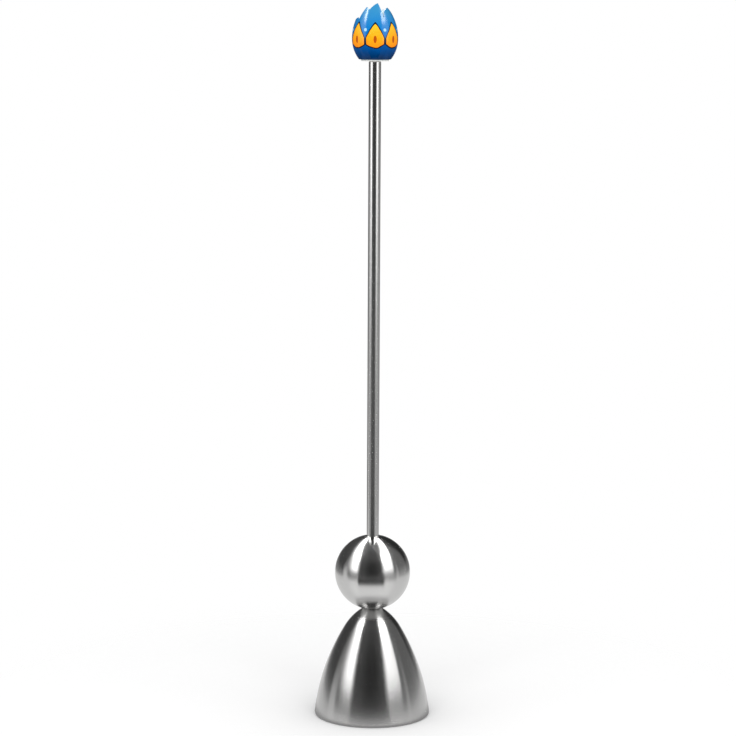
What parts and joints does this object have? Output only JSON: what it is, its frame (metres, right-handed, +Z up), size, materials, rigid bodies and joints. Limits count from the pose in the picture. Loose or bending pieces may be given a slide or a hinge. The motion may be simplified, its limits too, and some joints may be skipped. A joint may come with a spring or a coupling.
{
  "type": "egg topper",
  "caption": "Drop-weight egg topper: a steel ball slides on a slim rod between a broken egg shell knob and a bell that sits on the egg and cracks its shell in a ring.",
  "frame": {"origin": "centre of the bell's rim, on the surface that the tool stands on", "axes": "+Z up the guide rod from the bell to the knob, -Y towards the front"},
  "size_m": [0.0384, 0.0384, 0.2362],
  "materials": {
    "bell_steel": "turned and finely polished stainless steel",
    "rod_steel": "ground and polished stainless steel",
    "ball_steel": "polished bearing ball",
    "fastener_steel": "plain stainless fasteners",
    "stop_nylon": "pale nylon",
    "shell_glaze": "blue glaze with a painted orange and yellow band"
  },
  "bodies": {
    "frame": {"bell": "bell_steel", "guide_rod": "rod_steel", "crown_washer": "fastener_steel", "crown_lock_washer": "fastener_steel", "crown_nut": "fastener_steel", "stop_washer": "stop_nylon", "egg_shell_knob": "shell_glaze", "shell_washer": "fastener_steel", "shell_nut": "fastener_steel"},
    "ball": {"drop_ball": "ball_steel"}
  },
  "joints": [
    {"name": "ball_slide", "type": "slide", "parent": "frame", "child": "ball", "axis": [0, 0, 1], "range_m": [0, 0.15708]}
  ]
}
